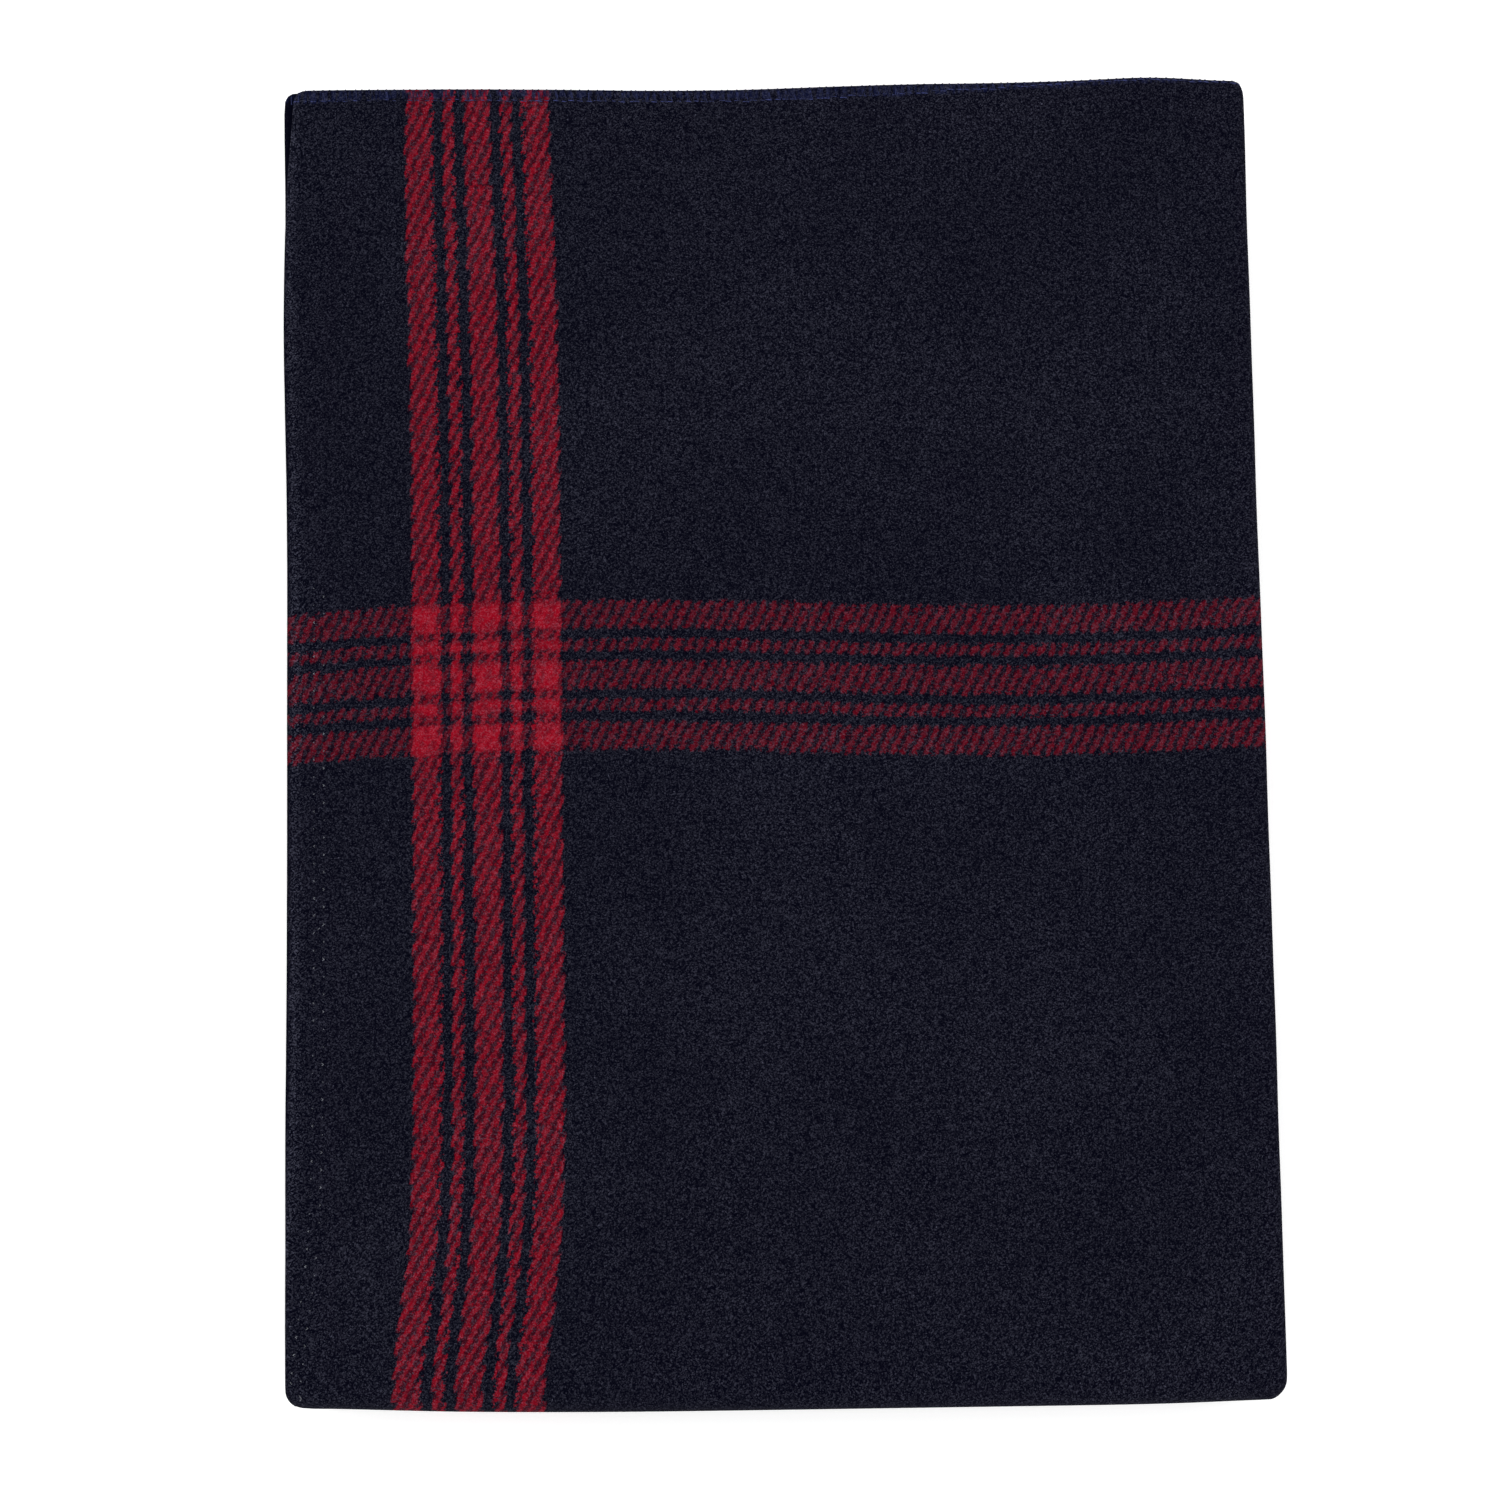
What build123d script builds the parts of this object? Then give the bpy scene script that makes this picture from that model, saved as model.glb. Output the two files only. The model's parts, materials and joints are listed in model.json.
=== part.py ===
from build123d import *

import os
from math import pi

# A woven wool camp blanket, folded flat for carrying or for a shelf.
#
# The cloth is folded twice over its width, which makes a strip of four leaves, and that strip is
# then folded like an accordion into four panels. The panels turn on the three cross folds.
#
# Millimetres. +Z is up through the stack, +Y runs along the blanket's length and +X across it.
# The origin is on the ground, at the middle of the folded stack. The blanket's own corner is on
# top at -X +Y: the outer side hem runs along -X and the overlocked top end along +Y.

# --- Driving dimensions -------------------------------------------------------------------------
blanket_width = 1575.0  # flat cloth, side hem to side hem
blanket_length = 2108.0  # flat cloth, overlocked end to overlocked end
cloth_thickness = 2.4
leaf_gap = 0.6  # air held between two leaves by the nap
hem_width = 13.0  # side hem, from the free edge to its zigzag stitching
stitching_width = 4.4  # side to side of the zigzag
thread_depth = 0.3  # thread lying in the face of the cloth, or wrapped over its end
serging_depth = 5.0  # how far the overlock stitch reaches in from a cut end
bottom_end_step = 12.5  # the bottom end stops this far short of the middle fold's axis
opening_clearance = 0.15  # between a panel's end and its fold's axis

# --- Sizes that follow --------------------------------------------------------------------------
leaf_pitch = cloth_thickness + leaf_gap
panel_pitch = 4 * leaf_pitch
outer_bend = 1.5 * leaf_pitch  # middle of the cloth round the outer side fold
inner_bend = 0.5 * leaf_pitch  # middle of the cloth round a fold of two touching leaves
side_bends_length = pi * (outer_bend + 2 * inner_bend)
side_bends_width = 4 * outer_bend + 2 * inner_bend + 3 * cloth_thickness
stack_width = (blanket_width - side_bends_length + side_bends_width) / 4

fold_reach = panel_pitch - leaf_gap / 2  # from a cross fold's axis to the outside of the cloth
cross_bends_length = 3 * pi * 2 * leaf_pitch  # three cross folds, at the middle of the strip
panel_span = (blanket_length - cross_bends_length - fold_reach + bottom_end_step) / 4
stack_length = panel_span + 2 * fold_reach

left = -stack_width / 2
right_centre = stack_width / 2 - outer_bend - cloth_thickness / 2
left_centre = left + inner_bend + cloth_thickness / 2
front_axis = -panel_span / 2  # y of the lower and upper folds
back_axis = panel_span / 2  # y of the middle fold
bottom_end = back_axis - bottom_end_step
top_end = back_axis + fold_reach

# Leaves by their place in the strip: 0 is the outer leaf with the outer side hem, 1 lies against it
# and has the inner side hem, 2 and 3 are the closed pair. The cloth runs through 0, 3, 2 and 1.
leaf_starts = [left, left, left_centre, left_centre]
free_leaves = {"outer": 0, "inner": 1}
side_folds = [(right_centre, 1, 0, 3), (right_centre, 1, 1, 2), (left_centre, -1, 2, 3)]


def leaf_heights(level, outer_leaf_up):
    """Middle height of each leaf of the panel on this level, 0 being the bottom one."""
    lowest = level * panel_pitch + cloth_thickness / 2
    order = [3, 2, 1, 0] if outer_leaf_up else [0, 1, 2, 3]
    return [lowest + place * leaf_pitch for place in order]


def folded_section(heights, thickness, inset=0.0):
    """Adds the strip's cross-section to the sketch: four leaves and the side folds between them."""
    for leaf, height in enumerate(heights):
        start = leaf_starts[leaf] + (inset if leaf in free_leaves.values() else 0)
        with Locations(((start + right_centre) / 2, height)):
            Rectangle(right_centre - start, thickness)
    for centre, side, first, second in side_folds:
        middle = (heights[first] + heights[second]) / 2
        bend = abs(heights[first] - heights[second]) / 2
        with BuildLine() as half_ring:
            outside = CenterArc((centre, middle), bend + thickness / 2, -90 * side, 180)
            inside = CenterArc((centre, middle), bend - thickness / 2, -90 * side, 180)
            Line(outside @ 0, inside @ 0)
            Line(outside @ 1, inside @ 1)
        make_face(half_ring.edges())


def stitching_section(height, mode=Mode.ADD):
    """Adds or cuts a hem's two threads, which lie flush in the two faces of the leaf."""
    depth = (cloth_thickness - thread_depth) / 2
    middle = left + hem_width
    with Locations((middle, height - depth), (middle, height + depth)):
        Rectangle(stitching_width, thread_depth, mode=mode)


def cloth_section(heights):
    """Adds the strip's cross-section, less the threads of its two side hems."""
    folded_section(heights, cloth_thickness)
    for leaf in free_leaves.values():
        stitching_section(heights[leaf], mode=Mode.SUBTRACT)


def section_plane(y):
    """Upright plane across the blanket, whose sketches grow towards -Y when extruded."""
    return Plane.XZ.offset(-y)


def save(part, name):
    part.label = name
    export_step(part, f"parts/{name}.step")


os.makedirs("parts", exist_ok=True)

# --- Panels: the flat runs of the strip, each a quarter of the blanket's length ---------------------
thread_run = serging_depth + thread_depth  # from a cut end to where the overlock stitch stops
panel_start = front_axis + opening_clearance
panel_stop = back_axis - opening_clearance
panels = [  # name, outer leaf on top, start, end of the full cloth, has an overlocked end
    ("bottom", False, panel_start, bottom_end - thread_run, True),
    ("lower_middle", True, panel_start, panel_stop, False),
    ("upper_middle", False, panel_start, panel_stop, False),
    ("top", True, panel_start, top_end - thread_run, True),
]
heights_of = {}

for level, (name, outer_leaf_up, start, stop, has_end) in enumerate(panels):
    heights = leaf_heights(level, outer_leaf_up)
    heights_of[name] = heights

    # The cloth. Its cut end is a thinner tongue, which the overlock thread wraps.
    with BuildPart() as panel:
        with BuildSketch(section_plane(stop)):
            cloth_section(heights)
        extrude(amount=stop - start)
        if has_end:
            with BuildSketch(section_plane(stop + serging_depth)):
                folded_section(heights, cloth_thickness - 2 * thread_depth, thread_depth)
            extrude(amount=serging_depth)
    save(panel.part, f"{name}_panel")

    # The overlock thread over the cut end: a sleeve that fills the cloth out to its full thickness.
    if has_end:
        with BuildPart() as serging:
            with BuildSketch(section_plane(stop + thread_run)):
                folded_section(heights, cloth_thickness)
            extrude(amount=thread_run)
            with BuildSketch(section_plane(stop + serging_depth)):
                folded_section(heights, cloth_thickness - 2 * thread_depth, thread_depth)
            extrude(amount=serging_depth, mode=Mode.SUBTRACT)
        save(serging.part, f"{name}_end_serging")

    # The zigzag stitching of both side hems, a needle thread and a bobbin thread each.
    for hem, leaf in free_leaves.items():
        with BuildPart() as stitching:
            with BuildSketch(section_plane(stop)):
                stitching_section(heights[leaf])
            extrude(amount=stop - start)
        save(stitching.part, f"{name}_panel_{hem}_hem_stitching")

# --- Cross folds: the strip turned half way round between two panels ------------------------------
folds = [  # name, the panel whose end is swept round, the axis's place, the level above the axis
    ("lower", "lower_middle", front_axis, 1),
    ("middle", "lower_middle", back_axis, 2),
    ("upper", "top", front_axis, 3),
]

for name, swept_panel, y, level_above in folds:
    heights = heights_of[swept_panel]
    fold_axis = Axis((0, y, level_above * panel_pitch - leaf_gap / 2), (1, 0, 0))

    with BuildPart() as fold:
        with BuildSketch(section_plane(y)):
            cloth_section(heights)
        revolve(axis=fold_axis, revolution_arc=180)
    save(fold.part, f"{name}_fold")

    for hem, leaf in free_leaves.items():
        with BuildPart() as stitching:
            with BuildSketch(section_plane(y)):
                stitching_section(heights[leaf])
            revolve(axis=fold_axis, revolution_arc=180)
        save(stitching.part, f"{name}_fold_{hem}_hem_stitching")

print(f"stack {stack_width:.2f} x {stack_length:.2f} x {4 * panel_pitch - leaf_gap:.2f}")
print(f"front axis {front_axis:.3f}, back axis {back_axis:.3f}")
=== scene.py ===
import json
from math import pi, radians

import bpy
import numpy as np
from mathutils import Euler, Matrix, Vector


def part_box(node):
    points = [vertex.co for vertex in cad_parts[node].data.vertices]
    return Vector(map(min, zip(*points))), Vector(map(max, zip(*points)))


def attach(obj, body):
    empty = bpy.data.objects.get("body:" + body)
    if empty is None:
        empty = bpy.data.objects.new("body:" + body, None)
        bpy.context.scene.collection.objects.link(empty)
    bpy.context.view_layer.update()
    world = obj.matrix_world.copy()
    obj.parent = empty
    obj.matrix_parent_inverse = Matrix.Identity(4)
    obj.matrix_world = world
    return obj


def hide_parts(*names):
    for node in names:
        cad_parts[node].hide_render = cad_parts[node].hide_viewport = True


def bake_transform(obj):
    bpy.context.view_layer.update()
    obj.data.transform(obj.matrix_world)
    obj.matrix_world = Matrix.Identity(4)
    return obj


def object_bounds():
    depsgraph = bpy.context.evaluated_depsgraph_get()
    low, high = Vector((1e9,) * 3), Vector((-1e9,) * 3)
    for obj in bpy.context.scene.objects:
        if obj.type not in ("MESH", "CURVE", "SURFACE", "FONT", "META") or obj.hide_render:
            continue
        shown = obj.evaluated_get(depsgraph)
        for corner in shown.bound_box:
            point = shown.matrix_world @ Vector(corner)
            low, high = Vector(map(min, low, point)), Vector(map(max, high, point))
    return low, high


# A folded wool camp blanket. All lengths below are in millimetres and turned into metres only where
# a mesh, a light or the camera is made. A point of the cloth is (u, v): u runs across the blanket
# from its outer side hem, v along it from its top end.

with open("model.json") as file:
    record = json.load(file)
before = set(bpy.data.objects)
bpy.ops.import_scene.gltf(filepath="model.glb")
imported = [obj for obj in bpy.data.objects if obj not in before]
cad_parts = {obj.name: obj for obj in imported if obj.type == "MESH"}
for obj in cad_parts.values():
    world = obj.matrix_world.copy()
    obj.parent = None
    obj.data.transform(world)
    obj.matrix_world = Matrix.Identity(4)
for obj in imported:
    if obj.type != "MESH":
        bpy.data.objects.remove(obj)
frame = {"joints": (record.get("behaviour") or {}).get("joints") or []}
cad_low, cad_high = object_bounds()
MM = 0.001  # metres in a millimetre


# --- The folded shape, from the frame ---------------------------------------------------------------
def millimetres(values):
    return [1000 * value for value in values]


half_width, _, stack_height = millimetres(cad_high)
top_end = millimetres(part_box("top_end_serging")[1])[1]
bottom_end = millimetres(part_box("bottom_end_serging")[1])[1]
fold_axis = {joint["name"].split("_")[0]: millimetres(joint["pos_m"])[1:] for joint in frame["joints"]}

PANELS, LEAVES_PER_PANEL = 4, 4
LEAF_GAP = 0.6
leaf_pitch = (stack_height + LEAF_GAP) / (PANELS * LEAVES_PER_PANEL)
panel_pitch = LEAVES_PER_PANEL * leaf_pitch
cad_thickness = leaf_pitch - LEAF_GAP
HALF_THICKNESS = 1.1  # of the cloth as shown: the nap gives way a little where leaves meet

outer_bend = 1.5 * leaf_pitch  # radius of the side fold round the closed pair of leaves
inner_bend = 0.5 * leaf_pitch
strip_middle = 2 * leaf_pitch
right_centre = half_width - outer_bend - cad_thickness / 2
left_centre = -half_width + inner_bend + cad_thickness / 2

# Where the cloth turns, counted across it from the outer hem.
long_leaf = right_centre + half_width
short_leaf = right_centre - left_centre
outer_turn = (long_leaf, long_leaf + pi * outer_bend)
left_turn = (outer_turn[1] + short_leaf, outer_turn[1] + short_leaf + pi * inner_bend)
inner_turn = (left_turn[1] + short_leaf, left_turn[1] + short_leaf + pi * inner_bend)
blanket_width = inner_turn[1] + long_leaf

# The runs along the cloth from its top end: panels (level, outer leaf up, y at the start, direction)
# and cross folds (axis y, axis z, side, outer leaf up on the panel above).
cross_turn = pi * strip_middle
front, back = fold_axis["upper"][0], fold_axis["middle"][0]
STAGES = [
    ("top", top_end - front, (3, True, top_end, -1)),
    ("upper", cross_turn, (*fold_axis["upper"], -1, True)),
    ("upper_middle", back - front, (2, False, front, 1)),
    ("middle", cross_turn, (*fold_axis["middle"], 1, False)),
    ("lower_middle", back - front, (1, True, back, -1)),
    ("lower", cross_turn, (*fold_axis["lower"], -1, True)),
    ("bottom", bottom_end - front, (0, False, front, 1)),
]
stage_starts = np.cumsum([0.0] + [length for _, length, _ in STAGES])
blanket_length = stage_starts[-1]
start_of = {name: start for (name, _, _), start in zip(STAGES, stage_starts)}
folds = {name: facts for name, _, facts in STAGES if name in fold_axis}
fold_middle = {name: start_of[name] + cross_turn / 2 for name in folds}


def section(u):
    """Across the strip: x, height c above the closed pair's face, and the cloth's facing (x, c)."""
    outer = (u - outer_turn[0]) / outer_bend
    left = (u - left_turn[0]) / inner_bend
    inner = (u - inner_turn[0]) / inner_bend
    past = [u < outer_turn[0], u < outer_turn[1], u < left_turn[0], u < left_turn[1]]
    past += [u < inner_turn[0], u < inner_turn[1]]

    def pick(*choices):
        *earlier, last = (np.broadcast_to(choice, u.shape) for choice in choices)
        return np.select(past, earlier, last)

    x = pick(
        u - half_width,
        right_centre + outer_bend * np.sin(outer),
        right_centre - (u - outer_turn[1]),
        left_centre - inner_bend * np.sin(left),
        left_centre + (u - left_turn[1]),
        right_centre + inner_bend * np.sin(inner),
        right_centre - (u - inner_turn[1]),
    )
    c = pick(
        3.5 * leaf_pitch,
        strip_middle + outer_bend * np.cos(outer),
        0.5 * leaf_pitch,
        leaf_pitch - inner_bend * np.cos(left),
        1.5 * leaf_pitch,
        strip_middle - inner_bend * np.cos(inner),
        2.5 * leaf_pitch,
    )
    across = pick(0.0, np.sin(outer), 0.0, -np.sin(left), 0.0, -np.sin(inner), 0.0)
    up = pick(1.0, np.cos(outer), -1.0, -np.cos(left), 1.0, np.cos(inner), -1.0)
    return x, c, across, up


def fold_radius(c, outer_leaf_up):
    return c if outer_leaf_up else panel_pitch - c


# --- How the cloth lies: what handling and weight do to the drawn shape -----------------------------
def drift(t, seed, length):
    """Smooth wander within about -1 to 1 along t."""
    random = np.random.default_rng(seed)
    waves = [(0.55, 1.0), (0.3, 2.3), (0.15, 4.9)]
    return sum(size * np.sin(2 * pi * (rate * t / length + random.random())) for size, rate in waves)


SWELLS = 6


def swell(x, y, seed, length):
    """Smooth undulation within about -1 to 1 over the plan."""
    random = np.random.default_rng(seed)
    total = 0.0
    for _ in range(SWELLS):
        heading = random.random() * 2 * pi
        rate = (0.6 + random.random()) * 2 * pi / length
        phase = random.random() * 6.3
        total = total + np.sin(rate * (x * np.cos(heading) + y * np.sin(heading)) + phase)
    return total / SWELLS * 1.6


def near(t, middle, reach):
    """1 at the middle, fading to nothing at about twice the reach."""
    return np.exp(-(((t - middle) / reach) ** 2))


def smooth(t):
    """Smooth step from 0 at 0 to 1 at 1."""
    t = np.clip(t, 0, 1)
    return t * t * (3 - 2 * t)


BACK_CORNER, FRONT_CORNER = 5.5, 7.5  # radii of the stack's corners in plan
EDGE_REACH = 60.0  # how far into the cloth the shift of one of its edges is felt
DRAWN_REACH = 70.0  # the same where a cross fold is drawn in
HIDDEN_FROM, HIDDEN_OVER = 470.0, 160.0  # along the cloth, where it turns under the top panel


def round_corners(x, y):
    """Rounds the corners of the stack in plan."""
    radius = np.where(y > 0, BACK_CORNER, FRONT_CORNER)
    reach_x = np.abs(x) - (half_width - radius)
    reach_y = np.abs(y) - (top_end - radius)
    corner = (reach_x > 0) & (reach_y > 0)
    px, py = np.clip(reach_x / radius, 0, 1), np.clip(reach_y / radius, 0, 1)
    round_x = radius * px * np.sqrt(np.clip(1 - py**2 / 2, 0.2, 1))
    round_y = radius * py * np.sqrt(np.clip(1 - px**2 / 2, 0.2, 1))
    rounded_x = np.where(corner, np.sign(x) * (half_width - radius + round_x), x)
    rounded_y = np.where(corner, np.sign(y) * (top_end - radius + round_y), y)
    return rounded_x, rounded_y


def shift_sides(x, u, v):
    """Side hems and side folds don't lie exactly over each other."""
    on_top = 1 - smooth((v - HIDDEN_FROM) / HIDDEN_OVER)
    hidden = 1 - on_top
    lower_layers = -(1.8 * near(v, 95, 75) + 1.6 * near(v, 0, 40)) * on_top
    right = 1.9 * drift(v, 3, 640) * hidden + (0.1 + 0.3 * drift(v, 2, 300)) * on_top
    top_hem = 2.4 * near(v, 0, 30) - 1.8 * near(v, 95, 60) - 0.5 * near(v, 430, 60)
    shifts = [  # place across the cloth, shift
        (0.0, 1.8 * drift(v, 1, 600) * hidden + top_hem),
        (sum(outer_turn) / 2, right),
        (sum(left_turn) / 2, 2.0 * drift(v, 4, 540) * hidden + lower_layers),
        (sum(inner_turn) / 2, right - 0.9 - 0.8 * np.abs(drift(v, 5, 500))),
        (blanket_width, 2.4 * drift(v, 6, 620) * hidden + lower_layers),
    ]
    for place, shift in shifts:
        x = x + near(u, place, EDGE_REACH) * shift
    return x


def bow_folds(x, y, v):
    """The cross folds bow out in the middle and draw in at their ends, and the cut ends draw in.

    Outward, only the turning cloth gives, so that the panels still meet when the fold is opened.
    """
    for name, (_, _, outward, _) in folds.items():
        drawn_in = 3.2 * near(x, -half_width, 55) + 0.5 * near(x, -120, 50)
        bow = 1.5 - drawn_in - 1.2 * near(x, half_width, 35)
        if name != "upper":
            bow = bow * 0.6 + 2.2 * drift(x, 10 + len(name), 420) - 1.0
        bulge = np.sin(pi * np.clip((v - start_of[name]) / cross_turn, 0, 1))
        drawn = near(v, fold_middle[name], DRAWN_REACH)
        y = y + outward * (np.maximum(bow, 0) * bulge + np.minimum(bow, 0) * drawn)
    drawn_in = 2.5 * near(x, -22, 80) + 0.9 * near(x, 105, 45) - 0.6 * near(x, 158, 22)
    drawn_in = drawn_in + 1.8 * near(x, half_width, 28)
    y = y + near(v, 0, EDGE_REACH) * (0.95 - drawn_in)
    return y + near(v, blanket_length, EDGE_REACH) * (drift(x, 21, 380) - 3.2)


def settle(x, y, z, u, v):
    """Moves points of the drawn shape to where the handled cloth lies."""
    x, y = round_corners(x, y)
    x = shift_sides(x, u, v)
    y = bow_folds(x, y, v)

    # Thickness of the pile, and small ripples along the edges of the leaves. The cross folds
    # themselves stay level, so that they still meet when they are opened.
    level = smooth((back - np.abs(y)) / 70)
    height = 1 + (0.035 * swell(x, y, 31, 380) - 0.03 * near(x, -half_width, 35)) * level
    z = z - 0.3 * smooth(1 - v / 12)
    hem = np.minimum(np.abs(u), np.abs(blanket_width - u))
    ripple = 0.22 * near(hem, 0, 14) * drift(v, 33, 90) + 0.18 * near(v, 0, 16) * drift(x, 34, 110)
    flat = 1 - sum(near(v, middle, 22) for middle in fold_middle.values())
    return x, y, z * height + ripple * flat


def cloth_point(u, v):
    """Middle of the cloth at (u, v), and the direction that its face looks in."""
    u, v = (np.array(a, float) for a in np.broadcast_arrays(u, v))
    x, c, across, up = section(u)
    y, z, along, upright = (np.zeros(u.shape) for _ in range(4))
    stage_of = np.clip(np.searchsorted(stage_starts, v, side="right") - 1, 0, len(STAGES) - 1)
    for number, (name, length, facts) in enumerate(STAGES):
        here = stage_of == number
        travel = v[here] - stage_starts[number]
        if name in folds:
            axis_y, axis_z, side, outer_leaf_up = facts
            angle, radius = pi * travel / length, fold_radius(c[here], outer_leaf_up)
            outward = up[here] if outer_leaf_up else -up[here]
            y[here] = axis_y + side * radius * np.sin(angle)
            z[here] = axis_z + radius * np.cos(angle)
            along[here], upright[here] = side * np.sin(angle) * outward, np.cos(angle) * outward
        else:
            level, outer_leaf_up, y_start, direction = facts
            y[here] = y_start + direction * travel
            lowest = level * panel_pitch - LEAF_GAP / 2
            z[here] = lowest + c[here] if outer_leaf_up else lowest + panel_pitch - c[here]
            upright[here] = up[here] if outer_leaf_up else -up[here]
    x, y, z = settle(x, y, z, u, v)
    return np.stack([x, y, z], -1), np.stack([across, along, upright], -1)


HEM_STITCHING = 13.0  # from a side hem's free edge to the middle of its zigzag
SERGING_DEPTH = 5.0
# Across the outer leaf the overlocking gets shallow, and after the side fold it is deep again.
SHALLOW_DEPTH = 1.2
SHALLOWING, DEEPENING = (215.0, 335.0), (400.0, 460.0)


def step_over(u, ends):
    begin, end = ends
    return smooth((u - begin) / (end - begin))


def serging_depth(u):
    shallow = step_over(u, SHALLOWING) * (1 - step_over(u, DEEPENING))
    return SERGING_DEPTH + (SHALLOW_DEPTH - SERGING_DEPTH) * shallow


def sway(v):
    """How far handling has pulled the warp yarns and the hem's seam towards the outer hem."""
    pulled = start_of["upper"] + 20
    return 3.4 * near(v, 0, 70) + 9.6 * near(v, pulled, np.where(v < pulled, 60, 300))


def half_thickness(u, v):
    """Half the cloth's thickness: rounded at cut and hemmed edges, nipped where it is sewn."""
    hem = np.minimum(u, blanket_width - u)
    end = np.minimum(v, blanket_length - v)
    rounding = 1 - np.clip(np.minimum(hem, end) / HALF_THICKNESS, 0, 1)
    seam = np.minimum(u + sway(v), blanket_width - u - sway(v))
    sewn = 0.16 * near(seam, HEM_STITCHING, 2.6) + 0.15 * near(end, serging_depth(u) - 1, 2.2)
    roll = 0.10 * near(hem, 3.0, 1.6) + 0.08 * near(hem, 7.6, 1.4)
    return (HALF_THICKNESS - sewn + roll) * np.maximum(np.sqrt(1 - rounding**2), 0.1)


GIVING = 130.0  # how far from a cross fold the cloth is pulled along to feed it


def weave_position(u, v):
    """Where (u, v) lies in the weave: fulling and handling pull the yarns out of true."""
    wave = -2.4 * np.cos(2 * pi * (u - 305) / 375) - 1.0 * near(u, 0, 20)
    # Leaves on the outside of a cross fold take up more cloth in it than those on its inside. The
    # cloth either side gives it.
    given = 0.0
    for name, (_, _, _, outer_leaf_up) in folds.items():
        past_start = v - start_of[name]
        spare = pi * (fold_radius(section(u)[1], outer_leaf_up) - strip_middle)
        taken = np.clip(past_start / cross_turn, 0, 1)
        fed = smooth((past_start + GIVING) / (cross_turn + 2 * GIVING))
        given = given + spare * (taken - fed)
    return u + sway(v), v + given + wave * near(v, 250, 400)


# --- Meshes -----------------------------------------------------------------------------------------
def new_piece(name, points, faces, material):
    mesh = bpy.data.meshes.new(name)
    mesh.from_pydata((points * MM).tolist(), [], faces)
    mesh.materials.append(material)
    mesh.shade_smooth()
    piece = bpy.data.objects.new(name, mesh)
    bpy.context.scene.collection.objects.link(piece)
    return piece


def corners(piece):
    """The vertex at each corner of the piece's faces."""
    corner_of = np.zeros(len(piece.data.loops), int)
    piece.data.loops.foreach_get("vertex_index", corner_of)
    return corner_of


SHARP = radians(55)  # the cloth's edges are shaded sharp from this angle


def cloth_piece(name, us, vs, material):
    """The cloth between the first and last of us and of vs, as a closed thin solid."""
    u, v = np.meshgrid(us, vs, indexing="ij")
    middle, facing = cloth_point(u, v)
    offset = facing * half_thickness(u, v)[..., None]
    points = np.concatenate([(middle + offset).reshape(-1, 3), (middle - offset).reshape(-1, 3)])
    index = np.arange(u.size).reshape(u.shape)
    a, b, c, d = index[:-1, :-1], index[1:, :-1], index[1:, 1:], index[:-1, 1:]
    face = np.stack([a, d, c, b], -1).reshape(-1, 4)
    reverse = np.stack([a, b, c, d], -1).reshape(-1, 4) + u.size
    border = np.concatenate([index[:, 0], index[-1, 1:], index[-2::-1, -1], index[0, -2:0:-1]])
    following = np.roll(border, -1)
    rim = np.stack([border, following, following + u.size, border + u.size], -1)
    piece = new_piece(name, points, np.concatenate([face, reverse, rim]).tolist(), material)
    piece.data.set_sharp_from_angle(angle=SHARP)
    weave = np.stack(weave_position(u, v), -1).reshape(-1, 2)
    layer = piece.data.uv_layers.new(name="Cloth")
    layer.data.foreach_set("uv", weave[corners(piece) % u.size].ravel())
    return piece


def thread_piece(name, lines, facings, radius, material, sides=6, tones=None):
    """One mesh of round threads. lines and facings are (threads, points along each, 3)."""
    tangent = np.gradient(lines, axis=1)
    tangent /= np.linalg.norm(tangent, axis=-1, keepdims=True) + 1e-9
    across = np.cross(tangent, facings)
    across /= np.linalg.norm(across, axis=-1, keepdims=True) + 1e-9
    raised = np.cross(across, tangent)
    turn = 2 * pi * np.arange(sides) / sides
    ring = across[..., None, :] * np.cos(turn)[:, None] + raised[..., None, :] * np.sin(turn)[:, None]
    points = lines[..., None, :] + radius * ring
    index = np.arange(points[..., 0].size).reshape(points.shape[:-1])
    here, ahead = index[:, :-1], index[:, 1:]
    walls = np.stack([here, np.roll(here, -1, 2), np.roll(ahead, -1, 2), ahead], -1).reshape(-1, 4)
    caps = index[:, 0, ::-1].tolist() + index[:, -1].tolist()
    piece = new_piece(name, points.reshape(-1, 3), walls.tolist() + caps, material)
    tone = np.repeat(np.zeros(len(lines)) if tones is None else tones, lines.shape[1] * sides)
    corner_of = corners(piece)
    layer = piece.data.uv_layers.new(name="Tone")
    layer.data.foreach_set("uv", np.stack([tone[corner_of], 0 * tone[corner_of]], -1).ravel())
    return piece


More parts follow.
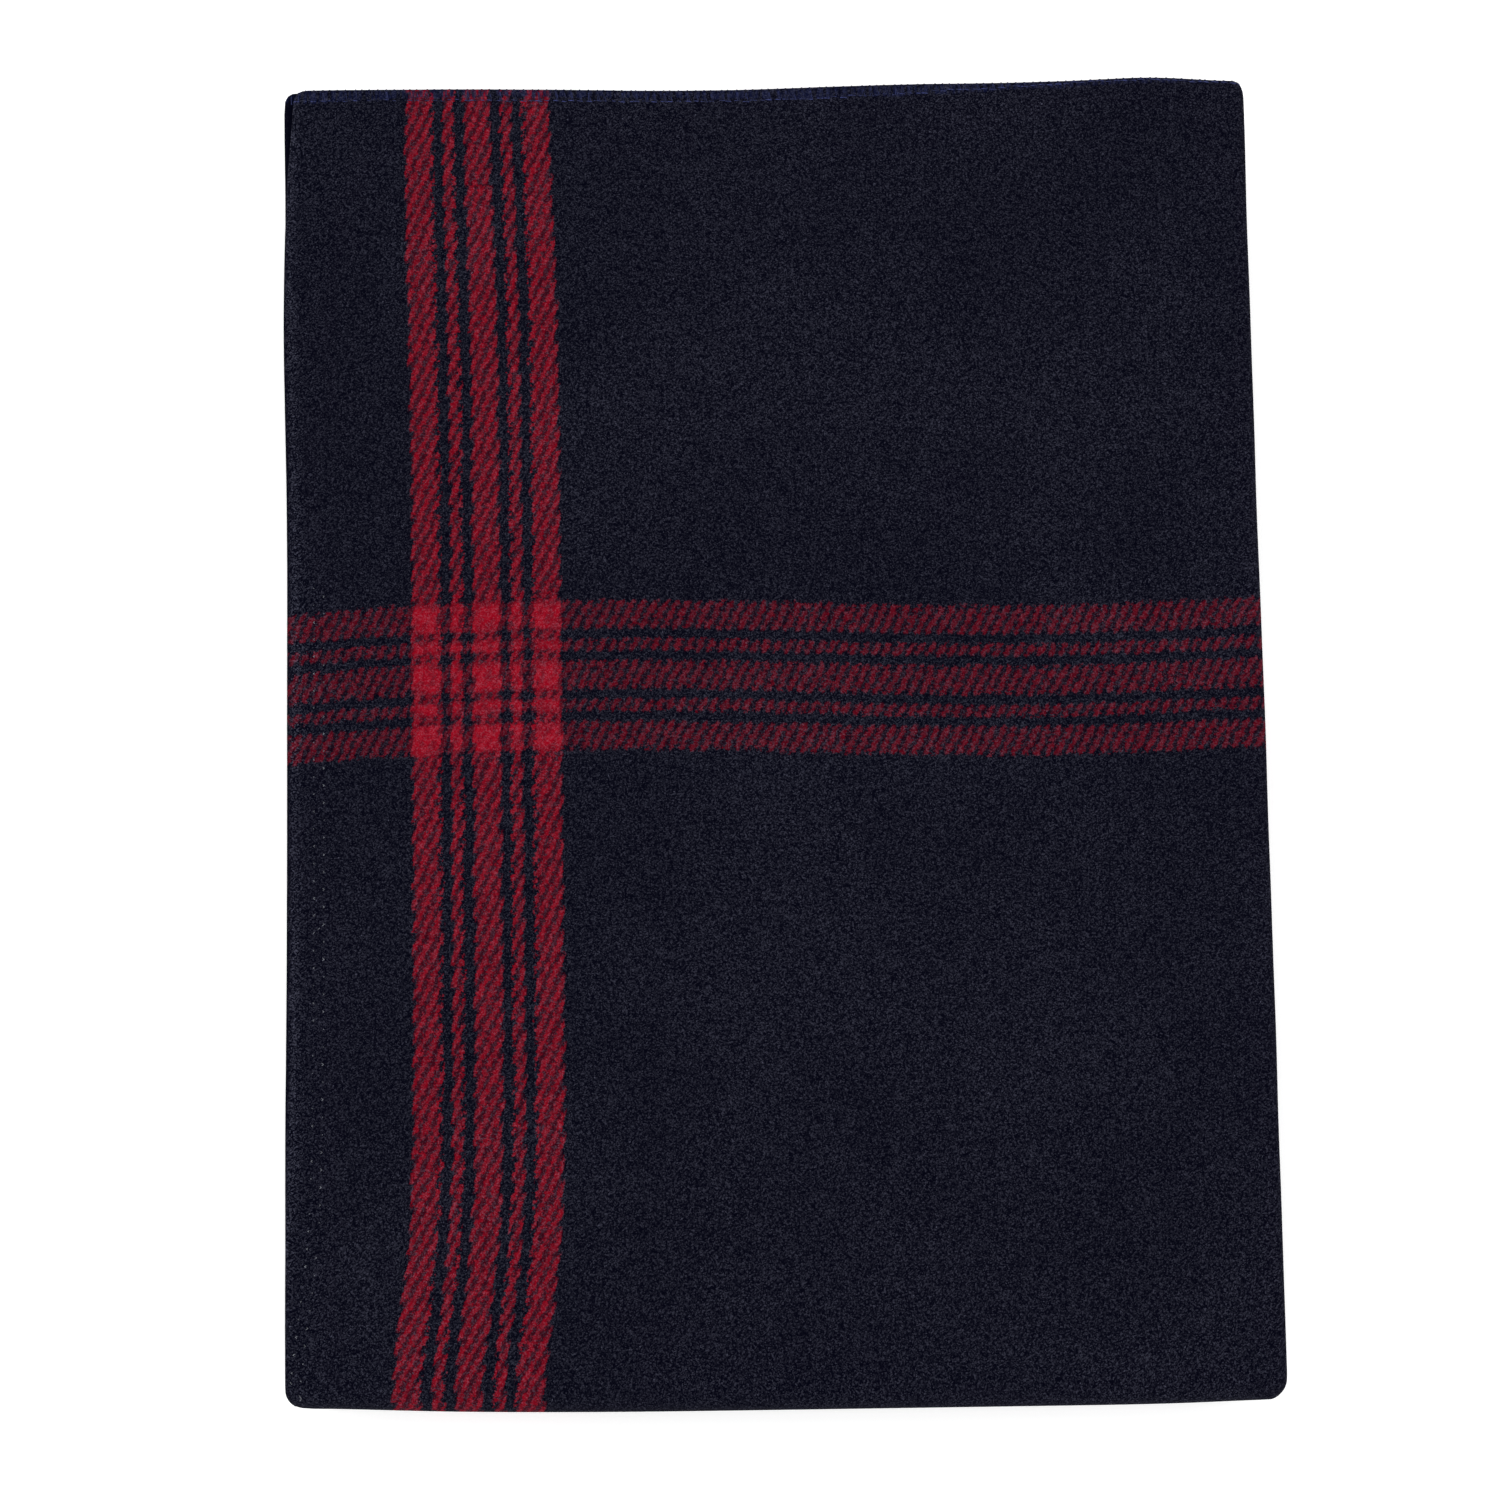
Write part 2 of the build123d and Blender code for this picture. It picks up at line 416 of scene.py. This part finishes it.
# --- Materials --------------------------------------------------------------------------------------
class Shading:
    """A material's nodes, with short calls for the ones used here."""

    def __init__(self, name):
        self.material = bpy.data.materials.new(name)
        self.material.use_nodes = True
        self.tree = self.material.node_tree
        self.shader = self.tree.nodes["Principled BSDF"]

    def node(self, kind, values, settings=(), output=0):
        node = self.tree.nodes.new(kind)
        for key, value in dict(settings).items():
            setattr(node, key, value)
        for key, value in values.items():
            if isinstance(value, bpy.types.NodeSocket):
                self.tree.links.new(value, node.inputs[key])
            else:
                node.inputs[key].default_value = value
        return node.outputs[output]

    def maths(self, operation, *values):
        return self.node("ShaderNodeMath", dict(enumerate(values)), {"operation": operation})

    def ramp(self, value, low, high, to_low=0.0, to_high=1.0):
        """Smooth step from to_low at low to to_high at high."""
        values = {"Value": value, "From Min": low, "From Max": high}
        values.update({"To Min": to_low, "To Max": to_high})
        return self.node("ShaderNodeMapRange", values, {"interpolation_type": "SMOOTHSTEP"})

    def noise(self, place, scale, detail=2.0, rough=0.5):
        values = {"Vector": place, "Scale": scale, "Detail": detail, "Roughness": rough}
        return self.node("ShaderNodeTexNoise", values, {"noise_dimensions": "2D"})

    def mix(self, factor, first, second):
        """Mix of two colours, which are a Mix node's sockets 6 and 7, and its output 2."""
        settings = {"data_type": "RGBA", "clamp_factor": True}
        return self.node("ShaderNodeMix", {0: factor, 6: first, 7: second}, settings, 2)

    def set(self, **values):
        for key, value in values.items():
            socket = self.shader.inputs[key.replace("_", " ")]
            if isinstance(value, bpy.types.NodeSocket):
                self.tree.links.new(value, socket)
            else:
                socket.default_value = value


WARP_PITCH, WEFT_PITCH = 1.11, 2.22
TWILL_REPEAT = 4  # yarns
STEPPED = 0.4  # share of a twill line's slope that goes in steps from yarn to yarn
BANDS = 4  # of red stripes each way, over the whole blanket
BAND_MIDDLE = (81.0, 246.9)  # middle of the first, from the outer hem and from the top end
STRIPE_EDGES = (5.0, 9.0, 13.0, 17.0, 27.0)  # of a band, in warp yarns each way from its middle
TEETH = 1.4  # from where a hidden red yarn reaches, at a stripe's edge, to where a floating one does
OVER_EDGE = 0.25  # share of that which is past the drawn edge
STRAYING = 2.4  # how far yarns stray from straight lines
FELTING = 5.2  # how far, in warp yarns, the felted nap shifts what shows of the twill
FUZZY, BLURRED = 3.6, 0.6  # how far stripes' edges wander with the nap, and half their blur
# How red a stripe is where its yarns pass behind the cloth and where they float on it.
WARP_HIDDEN, WARP_FLOATING = 0.16, 0.69
WEFT_HIDDEN, WEFT_FLOATING = 0.03, 0.33
SINGLE = 0.87  # share of that redness which shows
CROSSING = (0.74, 0.99)  # redness where red crosses red, and the weft or the warp floats
LINT = 3.0  # as pale as this many loose fibres
NAVY = (0.0008, 0.0009, 0.0047, 1)
RED = (0.2507, 0.0014, 0.0095, 1)
LOOPER = (0.0040, 0.0058, 0.0260, 1)
FIBRE = (0.0239, 0.0244, 0.0348)


def wool_material():
    shading = Shading("napped_twill_wool")
    maths, ramp, noise = shading.maths, shading.ramp, shading.noise
    cloth = shading.node("ShaderNodeUVMap", {}, {"uv_map": "Cloth"})
    wander = {"Vector": cloth, "Scale": 0.09, "Detail": 3.0}
    wobble = shading.node("ShaderNodeTexNoise", wander, {"noise_dimensions": "2D"}, "Color")
    centred = {0: wobble, 1: (0.5, 0.5, 0.5)}
    shift = shading.node("ShaderNodeVectorMath", centred, {"operation": "SUBTRACT"})
    strayed = {0: shift, 1: (STRAYING, STRAYING, 0.0), 2: cloth}
    shifted = shading.node("ShaderNodeVectorMath", strayed, {"operation": "MULTIPLY_ADD"})
    parts = shading.tree.nodes.new("ShaderNodeSeparateXYZ")
    shading.tree.links.new(shifted, parts.inputs[0])
    u, v = parts.outputs[0], parts.outputs[1]
    fuzz = noise(cloth, 0.48, 3.0, 0.75)
    nap = noise(cloth, 0.95, 2.0, 0.6)
    tufts = shading.node(
        "ShaderNodeTexVoronoi", {"Vector": cloth, "Scale": 2.3}, {"voronoi_dimensions": "2D"}, "Color"
    )
    tuft = shading.node("ShaderNodeSeparateXYZ", {0: tufts})

    # 2/2 twill, in steps that the nap has partly blurred. warp_up is 1 where the warp floats on the
    # face and 0 where the weft does.
    ends = maths("DIVIDE", u, WARP_PITCH)
    picks = maths("DIVIDE", v, WEFT_PITCH)
    even = maths("MULTIPLY", picks, 1 - STEPPED)
    stepped = maths("ADD", even, maths("MULTIPLY", maths("FLOOR", picks), STEPPED))
    phase = maths("PINGPONG", maths("ADD", ends, stepped), TWILL_REPEAT / 2)
    rough_phase = maths("MULTIPLY_ADD", maths("SUBTRACT", fuzz, 0.5), FELTING, phase)
    warp_up = ramp(rough_phase, 0.35, 1.65)

    def band(place, middle, extent, teeth):
        """1 on the red stripes of the nearest band, 0 between them. Red reaches out by the teeth."""
        spacing = (extent - 2 * middle) / (BANDS - 1)
        distance = maths("PINGPONG", maths("SUBTRACT", place, middle), spacing / 2)
        ragged = maths("ADD", distance, maths("MULTIPLY", maths("SUBTRACT", fuzz, 0.5), FUZZY))
        red_inside, red_outside = maths("SUBTRACT", ragged, teeth), maths("ADD", ragged, teeth)
        total = 1.0
        for number, edge in enumerate(STRIPE_EDGES):
            side, sign = (red_outside, 1.0) if number % 2 else (red_inside, -1.0)
            step = ramp(side, edge * WARP_PITCH - BLURRED, edge * WARP_PITCH + BLURRED)
            total = maths("MULTIPLY_ADD", step, sign, total)
        return total

    warp_teeth = maths("MULTIPLY_ADD", warp_up, TEETH, (OVER_EDGE - 1) * TEETH)
    weft_teeth = maths("MULTIPLY_ADD", warp_up, -TEETH, OVER_EDGE * TEETH)
    red_warp = band(u, BAND_MIDDLE[0], blanket_width, warp_teeth)
    red_weft = band(v, BAND_MIDDLE[1], blanket_length, weft_teeth)

    warp_red = maths("MULTIPLY", red_warp, ramp(warp_up, 0.0, 1.0, WARP_HIDDEN, WARP_FLOATING))
    weft_red = maths("MULTIPLY", red_weft, ramp(warp_up, 0.0, 1.0, WEFT_FLOATING, WEFT_HIDDEN))
    both = maths("MULTIPLY", red_warp, red_weft)
    single = maths("MULTIPLY", maths("ADD", warp_red, weft_red), maths("SUBTRACT", 1.0, both))
    patches = ramp(noise(cloth, 0.21), 0.3, 0.7, 0.80, 1.20)
    worn = maths("MULTIPLY", patches, ramp(nap, 0.3, 0.7, 0.85, 1.15))
    crossing = maths("MULTIPLY", both, ramp(warp_up, 0.0, 1.0, *CROSSING))
    red = maths("MULTIPLY", maths("ADD", crossing, maths("MULTIPLY", single, SINGLE)), worn)

    # Loose fibres of the nap catch the light over navy and red yarn alike. Along the hem's roll they
    # are made paler still as a painted highlight. At the free edges, along the outermost side fold and
    # at the inner hem, where the lower leaves lie in shade, a painted shade darkens them.
    hem = maths("PINGPONG", u, blanket_width / 2)
    # Painted highlight: fibres 1 to 8 mm in from each side hem are made paler, along its roll.
    hem_roll_highlight = maths("MULTIPLY", ramp(hem, 1.0, 2.6), ramp(hem, 2.8, 8.0, 1.0, 0.0))
    haze = maths("MULTIPLY", maths("POWER", tuft, 2.7), ramp(nap, 0.3, 0.7, 0.6, 1.4))
    haze = maths("MULTIPLY", haze, ramp(noise(cloth, 0.012), 0.3, 0.7, 0.88, 1.12))
    roll_highlight_and_red_fibres = maths("MULTIPLY_ADD", hem_roll_highlight, 0.9, maths("MULTIPLY_ADD", red, 0.3, 1.0))
    haze = maths("MULTIPLY", haze, roll_highlight_and_red_fibres)
    lint = ramp(noise(cloth, 0.45, 4.0, 0.75), 0.70, 0.76)
    haze = maths("MAXIMUM", haze, maths("MULTIPLY", lint, LINT))
    # Painted shade: darker fibres at the free edges, along the left side fold and at the inner hem.
    left_fold = maths("ABSOLUTE", maths("SUBTRACT", u, sum(left_turn) / 2))
    inner_hem = maths("SUBTRACT", blanket_width, u)
    painted_edge_shade = maths("MULTIPLY", ramp(hem, 0.2, 1.5, 0.3, 1.0), ramp(left_fold, 3.0, 5.0, 0.35, 1.0))
    painted_edge_shade = maths("MULTIPLY", painted_edge_shade, ramp(inner_hem, 1.0, 3.0, 0.1, 1.0))
    haze = maths("MULTIPLY", haze, painted_edge_shade)
    fibres = shading.node("ShaderNodeVectorMath", {0: FIBRE, "Scale": haze}, {"operation": "SCALE"})
    dyed = shading.mix(red, NAVY, RED)

    # Fine looper threads veil the last millimetres before a cut end.
    to_end = maths("PINGPONG", v, blanket_length / 2)
    along_loops = {0: cloth, 1: (0.62, 0.10, 0.0)}
    stretched = shading.node("ShaderNodeVectorMath", along_loops, {"operation": "MULTIPLY"})
    strands = ramp(noise(stretched, 1.0, 2.0, 0.6), 0.38, 0.62)
    shallow = maths("MULTIPLY", ramp(u, *SHALLOWING), ramp(u, *DEEPENING, 1.0, 0.0))
    reached = maths("MULTIPLY_ADD", shallow, SHALLOW_DEPTH - SERGING_DEPTH, SERGING_DEPTH)
    veil = maths("MULTIPLY", ramp(maths("SUBTRACT", to_end, reached), -0.6, 0.4, 0.85, 0.0), strands)
    dyed = shading.mix(veil, dyed, LOOPER)
    colour = shading.node("ShaderNodeVectorMath", {0: dyed, 1: fibres}, {"operation": "ADD"})

    relief = maths("ADD", maths("MULTIPLY", nap, 0.8), maths("MULTIPLY", warp_up, 0.35))
    bump = shading.node("ShaderNodeBump", {"Strength": 0.55, "Distance": 0.0005, "Height": relief})
    shading.set(
        Base_Color=colour,
        Roughness=ramp(fuzz, 0.2, 0.8, 0.86, 1.0),
        Normal=bump,
        Specular_IOR_Level=0.02,
    )
    return shading.material


def thread_material(name, colour, pale, contrast):
    """Spun thread: its plies show as lighter and darker flecks, and some stitches are paler."""
    shading = Shading(name)
    place = shading.node("ShaderNodeTexCoord", {}, output="Object")
    flecks = shading.node("ShaderNodeTexNoise", {"Vector": place, "Scale": 900.0, "Detail": 2.0})
    tone = shading.ramp(flecks, 0.3, 0.7, 1 - contrast, 1 + contrast)
    tone_map = shading.node("ShaderNodeUVMap", {}, {"uv_map": "Tone"})
    paler = shading.node("ShaderNodeSeparateXYZ", {0: tone_map})
    dyed = shading.mix(paler, (*colour, 1), (*pale, 1))
    toned = shading.node("ShaderNodeVectorMath", {0: dyed, "Scale": tone}, {"operation": "SCALE"})
    bump = shading.node("ShaderNodeBump", {"Strength": 0.4, "Distance": 0.0002, "Height": flecks})
    shading.set(Base_Color=toned, Normal=bump, Roughness=0.7, Specular_IOR_Level=0.2)
    return shading.material


wool = wool_material()
overlock = thread_material("overlock_thread", (0.0050, 0.0075, 0.034), (0.026, 0.033, 0.110), 0.7)
zigzag = thread_material("hem_thread", (0.115, 0.12, 0.14), (0.16, 0.17, 0.20), 0.5)


# --- The cloth --------------------------------------------------------------------------------------
SEAM_REACH = 10.0  # a leaf piece takes its side bend, and ends this far into the next leaf
side_turns = (outer_turn, left_turn, inner_turn)
leaf_ends = [0.0, *(turn[1] + SEAM_REACH for turn in side_turns), blanket_width]
EDGE_STEPS = [0.0, 0.1, 0.3, 0.6, 1.1, 1.8, 3.0]
EDGE_CLEARANCE = 0.9  # between these and the regular steps
BEND_STEPS = 14  # round a side fold
FOLD_STEPS = 24  # round a cross fold
SAME = 1e-6
SEEN_SPACING, HIDDEN_SPACING = 3.0, 9.0  # between the points of a panel's leaf
FOLD_TAKES = 0.2  # the end of each panel that goes with the fold, so that opened panels don't touch


def steps(start, stop, spacing, turns=()):
    """Values from start to stop: about spacing apart, closer round turns and at the free edges."""
    marks = sorted({start, stop, *(m for turn in turns for m in turn if start < m < stop)})
    values = []
    for low, high in zip(marks, marks[1:]):
        bend = any(abs(low - turn[0]) < SAME for turn in turns)
        count = BEND_STEPS if bend else max(2, round((high - low) / spacing))
        values.extend(np.linspace(low, high, count, endpoint=False))
    return np.array(values + [stop])


def with_edges(values, total):
    """Adds the fine steps that round a free edge, where values reach one."""
    extra = []
    if values[0] <= 0:
        extra += EDGE_STEPS
    if values[-1] >= total - SAME:
        extra += [total - step for step in EDGE_STEPS]
    kept = [value for value in values if all(abs(value - other) > EDGE_CLEARANCE for other in extra)]
    return np.array(sorted(kept + extra))


leaf_pieces = {}
for name, length, _ in STAGES:
    if name in folds:
        continue
    for leaf, (start, stop) in enumerate(zip(leaf_ends, leaf_ends[1:]), 1):
        spacing = SEEN_SPACING if name == "top" and leaf == 1 else HIDDEN_SPACING
        us = with_edges(steps(start, stop, spacing, side_turns), blanket_width)
        v_start = start_of[name] + (FOLD_TAKES if name != "top" else 0)
        v_stop = start_of[name] + length - (FOLD_TAKES if name != "bottom" else 0)
        vs = with_edges(steps(v_start, v_stop, spacing), blanket_length)
        piece = cloth_piece(f"{name}_panel_leaf_{leaf}", us, vs, wool)
        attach(piece, f"{name}_quarter")
        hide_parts(f"{name}_panel")
        leaf_pieces[name, leaf] = piece

FOLD_BODIES = {  # in the order in which the half turn goes round the fold: upwards (1) or down (-1)
    "lower": ("bottom_quarter", "lower_middle_quarter", 1),
    "middle": ("upper_middle_quarter", "lower_middle_quarter", -1),
    "upper": ("upper_middle_quarter", "top_quarter", 1),
}


def bend_with_fold(piece, name, reach):
    """Bakes the piece's placement into its mesh and works out the ends, reach either side of the fold
    axis's height, of a bend that is not made here.
    """
    y, z = fold_axis[name]
    first, second, upwards = FOLD_BODIES[name]
    start, end = (0, y * MM, (z - upwards * reach) * MM), (0, y * MM, (z + upwards * reach) * MM)
    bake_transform(piece)
    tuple(start)
    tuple(end)


flats = [
    ("leaf_1", 0.0, outer_turn[0]),
    ("leaf_2", outer_turn[1], left_turn[0]),
    ("leaf_3", left_turn[1], inner_turn[0]),
    ("leaf_4", inner_turn[1], blanket_width),
]
bends = [("outer_corner", *outer_turn), ("left_corner", *left_turn), ("inner_corner", *inner_turn)]
fold_reach = {}
for name in fold_axis:
    for part, start, stop in flats + bends:
        ends = [fold_radius(section(np.array([u]))[1][0], folds[name][3]) for u in (start, stop)]
        if (part, start, stop) in flats:
            reach = ends[0] - HALF_THICKNESS
            us = with_edges(steps(start, stop, 5.0 if name == "upper" else 8.0), blanket_width)
        else:
            reach = 0.8 * max(ends) + 0.1 * min(ends)
            us = np.linspace(start, stop, BEND_STEPS + 1)
        turning = np.linspace(0, cross_turn, FOLD_STEPS + 1)
        vs = start_of[name] + np.array([-FOLD_TAKES, *turning, cross_turn + FOLD_TAKES])
        piece = cloth_piece(f"{name}_fold_{part}", us, vs, wool)
        bend_with_fold(piece, name, reach)
        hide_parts(f"{name}_fold")
        leaf_pieces[name, part] = piece
        fold_reach[name, part] = reach

# --- Threads ----------------------------------------------------------------------------------------
ZIGZAG_PITCH, ZIGZAG_WIDTH, ZIGZAG_RADIUS = 7.0, 4.4, 0.22
HALF_STITCH_STEPS = 6
SUNK_UNTIL, SUNK_OVER = 225.0, 60.0  # from the top end, where the nap hides the zigzag


def hem_threads(name, outer, v_start, v_stop):
    """Zigzag through a side hem, one thread on each face. It sinks into the nap between its turns."""
    half_stitches = max(2, round((v_stop - v_start) / (ZIGZAG_PITCH / 2)))
    count = half_stitches * HALF_STITCH_STEPS + 1
    v = np.linspace(v_start, v_stop, count)
    swing = np.arange(count) / HALF_STITCH_STEPS % 2
    side_to_side = np.where(swing < 1, swing, 2 - swing) - 0.5
    from_edge = HEM_STITCHING + ZIGZAG_WIDTH * side_to_side
    u = (from_edge if outer else blanket_width - from_edge) - sway(v)
    middle, facing = cloth_point(u, v)
    random = np.random.default_rng(len(name) + int(v_start))
    at_turn = np.abs(side_to_side) * 2
    knots = np.arange(0, count, HALF_STITCH_STEPS // 2)
    knot_lift = np.interp(np.arange(count), knots, random.normal(-0.03, 0.09, len(knots)))
    sunk = 0.5 * smooth((SUNK_UNTIL - v) / SUNK_OVER)
    height = half_thickness(u, v) - 0.40 + 0.40 * at_turn**3 + knot_lift - sunk
    lines = np.stack([middle + facing * height[:, None], middle - facing * height[:, None]])
    return thread_piece(name, lines, np.stack([facing, -facing]), ZIGZAG_RADIUS, zigzag)


thread_pieces = {}
for name, length, _ in STAGES:
    for hem, outer in (("outer", True), ("inner", False)):
        v_start, v_stop = start_of[name], start_of[name] + length
        node = f"{name}_{'fold' if name in folds else 'panel'}_{hem}_hem_stitching"
        if name == "top":
            v_start += SERGING_DEPTH
        if name == "bottom":
            v_stop -= SERGING_DEPTH
        piece = hem_threads(f"{node}_thread", outer, v_start, v_stop)
        if name in folds:
            bend_with_fold(piece, name, fold_reach[name, "leaf_1" if outer else "leaf_4"])
        else:
            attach(piece, f"{name}_quarter")
        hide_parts(node)
        thread_pieces[name, hem] = piece

STITCH_PITCH, OVERLOCK_RADIUS = 3.4, 0.2
LOOP_LEAN, LOOP_SLANT = 0.9, 1.3  # across the blanket, of a loop and of the thread to the next
LOOP_STEPS = 12
NEEDLE_STITCH = 3.0
FLUSH_UNTIL, FLUSH_OVER = 35.0, 40.0  # next to the outer hem the loops lie deeper in the nap


def serging(name, at_top):
    """Overlock stitches over a cut end: slanted loops round the edge and a line of needle thread."""
    count = int(blanket_width / STITCH_PITCH)
    random = np.random.default_rng(50 + at_top)
    along = (np.arange(count) + 0.5) * STITCH_PITCH + random.normal(0, 0.35, count)

    def from_end(distance):
        return distance if at_top else blanket_length - distance

    def loop(u, distance, lift, faces):
        middle, facing = cloth_point(u, from_end(distance))
        height = faces * (half_thickness(u, from_end(np.maximum(distance, 0.0))) + lift)
        return middle + facing * height[..., None], facing * np.where(faces >= 0, 1.0, -1.0)[..., None]

    # Each stitch goes from one face round the end to the other, and a straight stitch holds it.
    places = along[:, None]
    t = np.linspace(0, 1, LOOP_STEPS + 1)[None]
    depth = serging_depth(places) + random.normal(0, 0.2, (count, 1))
    distance = np.maximum(depth * np.abs(np.cos(pi * t)) ** 0.8 - 0.1, -0.1)
    u = places + LOOP_LEAN * np.cos(pi * t)
    faces = np.clip(np.cos(pi * t) * 6, -1, 1) * np.ones_like(u)
    flush = 0.14 * (1 - smooth((places - FLUSH_UNTIL) / FLUSH_OVER))
    lift = random.normal(0, 0.08, (count, 1)) - flush
    wraps = loop(u, distance, lift - 0.02, faces)
    slants = loop(u - LOOP_LEAN + LOOP_SLANT * t, distance, lift - 0.08, faces)
    s = t - 0.5
    bowed = lift + 0.10 - 1.2 * s**2
    needle = loop(places + NEEDLE_STITCH * s, depth + 0.3 * s, bowed, np.ones((count, s.size)))
    lines, facings = (np.concatenate(parts) for parts in zip(wraps, slants, needle))
    tones = np.concatenate([0.35 * random.random(2 * count), 0.4 + 0.6 * random.random(count)])
    return thread_piece(name, lines, facings, OVERLOCK_RADIUS, overlock, 5, tones)


for name, at_top in (("top", True), ("bottom", False)):
    piece = serging(f"{name}_end_overlock_thread", at_top)
    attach(piece, f"{name}_quarter")
    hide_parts(f"{name}_end_serging")
    thread_pieces[name, "end"] = piece

# --- Short turns of the cloth, and the threads listed with each panel's leaf ------------------------
SMALLEST_SHEET = 10.0  # a shorter turn of the cloth is listed with the panel's leaf that runs into it
small_turns = {}
for name in folds:
    small_turns[name] = []
    for part, start, stop in flats + bends:
        piece = leaf_pieces[name, part]
        turn_length = pi * (fold_reach[name, part] + HALF_THICKNESS)
        if part.startswith("leaf") and turn_length >= SMALLEST_SHEET:
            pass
        else:
            small_turns[name].append(piece)

next_fold = {"top": "upper", "upper_middle": "middle", "lower_middle": "lower"}
for name, length, _ in STAGES:
    if name in folds:
        continue
    for leaf, (start, stop) in enumerate(zip(leaf_ends, leaf_ends[1:]), 1):
        along = []
        if leaf == 1:
            along.append(thread_pieces[name, "outer"])
            if name in next_fold:
                following = next_fold[name]
                along += small_turns[following]
                along += [thread_pieces[following, hem] for hem in ("outer", "inner")]
            if (name, "end") in thread_pieces:
                along.append(thread_pieces[name, "end"])
        if leaf == 4:
            along.append(thread_pieces[name, "inner"])

# --- Stage, light and camera ------------------------------------------------------------------------
FLOOR_SIZE, FLOOR_HEIGHT = 60, -0.0005  # metres
bpy.ops.mesh.primitive_plane_add(size=FLOOR_SIZE, location=(0, 0, FLOOR_HEIGHT))
floor = bpy.context.object
floor.name = "floor"
floor_shading = Shading("white_floor")
floor_shading.set(
    Base_Color=(0.9, 0.9, 0.9, 1), Roughness=0.9, Emission_Color=(1, 1, 1, 1), Emission_Strength=0.35
)
floor.data.materials.append(floor_shading.material)

world = bpy.data.worlds.new("studio")
bpy.context.scene.world = world
world.use_nodes = True
background = world.node_tree.nodes["Background"].inputs
background["Color"].default_value = (1, 1, 1, 1)
background["Strength"].default_value = 1.0

light = bpy.data.lights.new("overhead_softbox", "AREA")
light.shape, light.size, light.energy = "SQUARE", 3.0, 20
softbox = bpy.data.objects.new("overhead_softbox", light)
bpy.context.scene.collection.objects.link(softbox)
softbox.location = (-0.25, 0.45, 2.8)
softbox.rotation_euler = (-softbox.location).to_track_quat("-Z", "Y").to_euler()

# The camera looks nearly straight down, from a little in front of the blanket's middle.
lens = bpy.data.cameras.new("camera")
lens.lens, lens.sensor_width = 70, 36
camera = bpy.data.objects.new("camera", lens)
bpy.context.scene.collection.objects.link(camera)
camera.location = (-0.0109, -0.1373, 1.2130)
camera.rotation_euler = Euler((radians(6.34), radians(0.09), radians(-0.86)))
bpy.context.scene.camera = camera
bpy.context.scene.view_settings.view_transform = "Standard"
